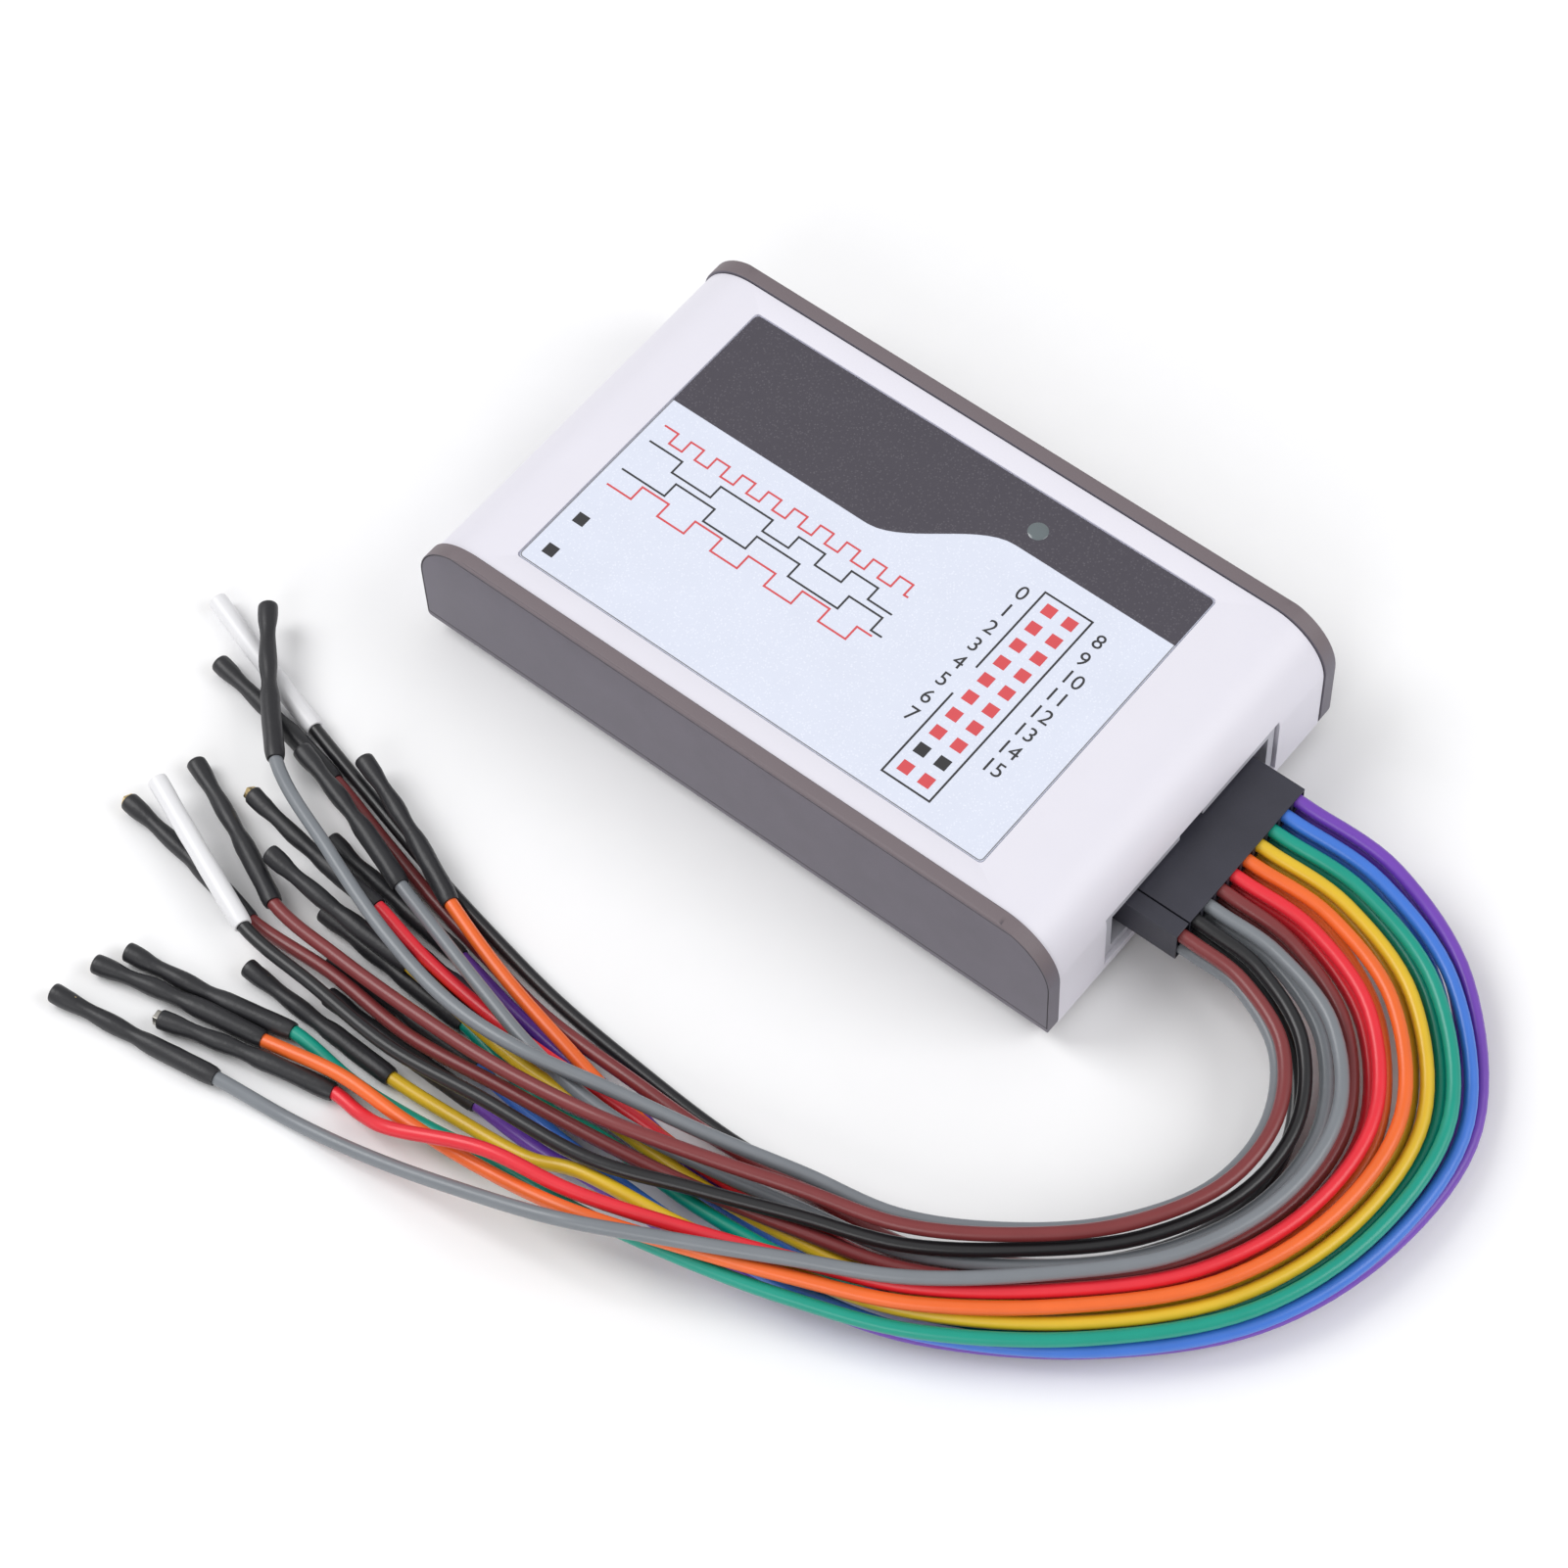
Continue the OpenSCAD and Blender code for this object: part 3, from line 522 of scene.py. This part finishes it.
def printed(name, shape, material, level=1):
    """Ink on the label: a flat shape, drawn on the plane, given its thickness."""
    bmesh.ops.translate(shape, vec=(0, 0, label_top + (level - 1) * print_t), verts=shape.verts)
    bmesh.ops.recalc_face_normals(shape, faces=shape.faces)
    top = bmesh.ops.extrude_face_region(shape, geom=shape.faces[:])
    moved = [item for item in top["geom"] if isinstance(item, bmesh.types.BMVert)]
    bmesh.ops.translate(shape, vec=(0, 0, print_t), verts=moved)
    bmesh.ops.recalc_face_normals(shape, faces=shape.faces)
    return finished_piece(name, shape, material, "case")


shape = bmesh.new()
left = label_left + margin
right = label_right - margin
far = label_far - margin
near = label_low.y / mm + margin
across = [corner_r * (1 - math.cos(math.radians(angle))) for angle in range(0, 91, 15)]
places = [left + inset for inset in across]
middle_l = right - left - 2 * end_stretch
places += [left + end_stretch + middle_l * step / band_steps for step in range(band_steps + 1)]
places += [right - inset for inset in reversed(across)]
low_row = []
high_row = []
for x in places:
    inset = max(0, corner_r - min(x - left, right - x))
    drop = corner_r - math.sqrt(corner_r ** 2 - inset ** 2)
    low_row.append(shape.verts.new((x, band_edge(x), 0)))
    high_row.append(shape.verts.new((x, far - drop, 0)))
for a, b, c, d in zip(low_row, low_row[1:], high_row[1:], high_row):
    shape.faces.new((a, b, c, d))
printed("label_band", shape, label_charcoal, 2)

# Painted shade: a thin dark ring round the label, where the edge of the recess shades the film.
shape = bmesh.new()
bmesh.ops.create_grid(shape, x_segments=1, y_segments=1, size=0.5, matrix=(
    Matrix.Translation(((left + right) / 2, (near + far) / 2, 0))
    @ Matrix.Diagonal((right - left, far - near, 1, 1))))
bmesh.ops.bevel(shape, geom=shape.verts[:], affect="VERTICES", offset=corner_r,
                segments=5, profile=0.5, material=-1)
inner = shape.faces[:]
bmesh.ops.inset_individual(shape, faces=inner, thickness=edge_shade_w, use_even_offset=True)
bmesh.ops.delete(shape, geom=inner, context="FACES_ONLY")
edge_shade_grey = surface_finish("edge_shade_grey", (0.2, 0.2, 0.215), 0.5, 0.3, 0.004, 0.1)
printed("label_edge_shade", shape, edge_shade_grey)

lens_glass = surface_finish("lens_glass", (0.12, 0.145, 0.155), 0.12, 1, 0.005, 0.1,
                            coat=0.6)
lens_sunk = 0.3
lens_dome = [(lens_r, 0), (lens_r * 0.92, 0.07), (lens_r * 0.6, 0.12), (0, 0.14)]
shape = spun([(0, -lens_sunk), (lens_r, -lens_sunk), *lens_dome], 32)
lens_place = (lens_centre.x, lens_centre.y, label_top + 2 * print_t)
bmesh.ops.translate(shape, vec=lens_place, verts=shape.verts)
finished_piece("lens_cap", shape, lens_glass, "case")
refinish(lens_glass, "status_lens")


# ---- Printed drawings ----
# Four square waves as on a timing chart, and a plan of the probe connector with its pins,
# its key notch and plain channel numbers, in red and near-black ink. All are flat bars and
# letters, drawn in millimetres and given the ink's thickness.
ink_black = surface_finish("ink_black", (0.03, 0.03, 0.033), 0.5, 0.3, 0.004, 0.1)
ink_red = surface_finish("ink_red", (0.62, 0.075, 0.085), 0.5, 0.3, 0.004, 0.08)
line_w = 0.26
waves_start = -34


def bar(shape, x_low, x_high, y_low, y_high):
    """Adds a flat rectangle to a drawing."""
    place = (Matrix.Translation(((x_low + x_high) / 2, (y_low + y_high) / 2, 0))
             @ Matrix.Diagonal((x_high - x_low, y_high - y_low, 1, 1)))
    bmesh.ops.create_grid(shape, x_segments=1, y_segments=1, size=0.5, matrix=place)


def square_wave(shape, low, swing, toggles, high_first):
    """Adds a wave that changes level at each toggle, counted from its start."""
    half = line_w / 2
    level = high_first
    x = waves_start
    for toggle in toggles:
        y = low + swing * level
        change = waves_start + toggle
        bar(shape, x - half, change + half, y - half, y + half)
        x = change
        if toggle != toggles[-1]:
            bar(shape, x - half, x + half, low + half, low + swing - half)
        level = not level
    return shape


clock_ticks = [2 * tick for tick in range(1, 20)] + [38.5]
slow_ticks = [3.6 + 4.1 * tick for tick in range(9)] + [38.5]
red_waves = square_wave(bmesh.new(), 0.9, 1.8, clock_ticks, True)
square_wave(red_waves, -8.2, 2.2, slow_ticks, False)
printed("waves_red", red_waves, ink_red)
black_waves = square_wave(bmesh.new(), -2.2, 2, [5, 11, 19, 23, 27, 31, 35, 38.5], True)
square_wave(black_waves, -5.4, 2.2, [6.5, 12.5, 19, 25.5, 33, 38, 39.5], False)
printed("waves_black", black_waves, ink_black)

map_left = 16.8
map_right = 24
map_far = 11.5
map_near = -19.9
notch_far = -2
notch_near = -6.4
shape = bmesh.new()
bar(shape, map_left, map_right, map_far - line_w, map_far)
bar(shape, map_left, map_right, map_near, map_near + line_w)
bar(shape, map_right - line_w, map_right, map_near + line_w, map_far - line_w)
bar(shape, map_left, map_left + line_w, notch_far, map_far - line_w)
bar(shape, map_left, map_left + line_w, map_near + line_w, notch_near)
square = 1.6


def pin_square(shape, x, y):
    """Adds a small square to a drawing, round the place given."""
    bar(shape, x - square / 2, x + square / 2, y - square / 2, y + square / 2)


for y in (-14.1, -19.7):
    pin_square(shape, -33.2, y)
red_squares = bmesh.new()
first_pin = 9.5
pin_step = 3.03
pin_rows = (18.9, 21.9)
ground_row = 8
for row in range(columns):
    for x in pin_rows:
        drawing = shape if row == ground_row else red_squares
        pin_square(drawing, x, first_pin - row * pin_step)
printed("pin_map", shape, ink_black)
printed("pin_squares", red_squares, ink_red)


def number(shape, text, x, y, align):
    """Adds a plain number to a drawing, in flat letters."""
    font = bpy.data.curves.new("number", "FONT")
    font.body = text
    font.size = number_size
    font.align_x = align
    font.align_y = "CENTER"
    holder = bpy.data.objects.new("number", font)
    flat = holder.to_mesh()
    flat.transform(Matrix.Translation((x, y, 0)))
    shape.from_mesh(flat)
    holder.to_mesh_clear()
    bpy.data.objects.remove(holder)
    bpy.data.curves.remove(font)


number_size = 2.9
numbers_left = 15.6
numbers_right = 25.4
row_channels = 8
shape = bmesh.new()
for channel in range(row_channels):
    y = first_pin - channel * pin_step
    number(shape, str(channel), numbers_left, y, "RIGHT")
    number(shape, str(channel + row_channels), numbers_right, y, "LEFT")
bmesh.ops.remove_doubles(shape, verts=shape.verts, dist=0.0005)
printed("channel_numbers", shape, ink_black)


# ---- Probe header ----
# A pale grey shrouded header behind the slot in the front end, as an eased copy of the CAD
# shape. Its square gold pins keep their CAD shape.
header_plastic = surface_finish("header_plastic", (0.45, 0.45, 0.5), 0.45, 0.4, 0.01, 0.05)
eased_copy("probe_header", "header_shroud", header_plastic, moulded_ease)
pin_gold = surface_finish("pin_gold", (0.78, 0.58, 0.24), 0.25, 0.4, 0.005, 0.1, metallic=1.0)
refinish(pin_gold, "header_pins")


# ---- Circuit board ----
# Green solder mask with black moulded chips, tan ceramic parts, yellow tantalum blocks, a
# dark ferrite coil and a clear indicator on a spacer. All keep their CAD shapes.
solder_mask = surface_finish("solder_mask", (0.01, 0.14, 0.05), 0.3, 0.8, 0.02, 0.25, coat=0.3)
chip_black = surface_finish("chip_black", (0.025, 0.025, 0.027), 0.6, 0.15, 0.01, 0.2)
ceramic_tan = surface_finish("ceramic_tan", (0.5, 0.38, 0.22), 0.55, 0.3, 0.01, 0.15)
tantalum_yellow = surface_finish("tantalum_yellow", (0.8, 0.5, 0.08), 0.45, 0.3, 0.01, 0.1)
ferrite_grey = surface_finish("ferrite_grey", (0.09, 0.09, 0.1), 0.7, 0.2, 0.02, 0.2)
indicator_clear = surface_finish("indicator_clear", (0.7, 0.78, 0.7), 0.15, 1, 0.005, 0.05,
                                 coat=0.5)
refinish(solder_mask, "circuit_board")
refinish(chip_black, "logic_chip", "usb_controller", "memory_chip", "comparator_chips",
         "config_memory", "voltage_regulator", "input_resistors", "led_spacer", "usb_tongue")
refinish(ceramic_tan, "small_capacitors", "resettable_fuse")
refinish(tantalum_yellow, "tantalum_capacitors")
refinish(ferrite_grey, "power_inductor")
refinish(indicator_clear, "status_led")


# ---- Floor and light ----
# A plain white floor, a strong soft box high on the left, weaker ones on the right and in
# front, and an even pale surround.
floor_white = surface_finish("floor_white", (0.9, 0.9, 0.91), 0.8, 5, 0.01, 0.01)
shape = bmesh.new()
bmesh.ops.create_grid(shape, x_segments=1, y_segments=1, size=2)
mesh = bpy.data.meshes.new("floor")
shape.to_mesh(mesh)
shape.free()
floor = bpy.data.objects.new("floor", mesh)
bpy.context.scene.collection.objects.link(floor)
mesh.materials.append(floor_white)


def soft_box(name, place, size, power):
    """A square area light that faces the box."""
    light = bpy.data.lights.new(name, "AREA")
    light.size = size
    light.energy = power
    holder = bpy.data.objects.new(name, light)
    holder.location = place
    holder.rotation_euler = (-Vector(place)).to_track_quat("-Z", "Y").to_euler()
    bpy.context.scene.collection.objects.link(holder)


soft_box("left_key", (-0.75, -0.35, 0.95), 0.7, 7.6)
soft_box("right_fill", (0.85, 0.35, 0.75), 0.7, 5)
soft_box("near_fill", (0.3, -1.1, 0.7), 0.6, 3.2)
world = bpy.data.worlds.new("studio")
bpy.context.scene.world = world
world.use_nodes = True
surround = world.node_tree.nodes["Background"]
surround.inputs["Color"].default_value = (1, 1, 1, 1)
surround.inputs["Strength"].default_value = 0.56
bpy.context.scene.view_settings.view_transform = "Standard"
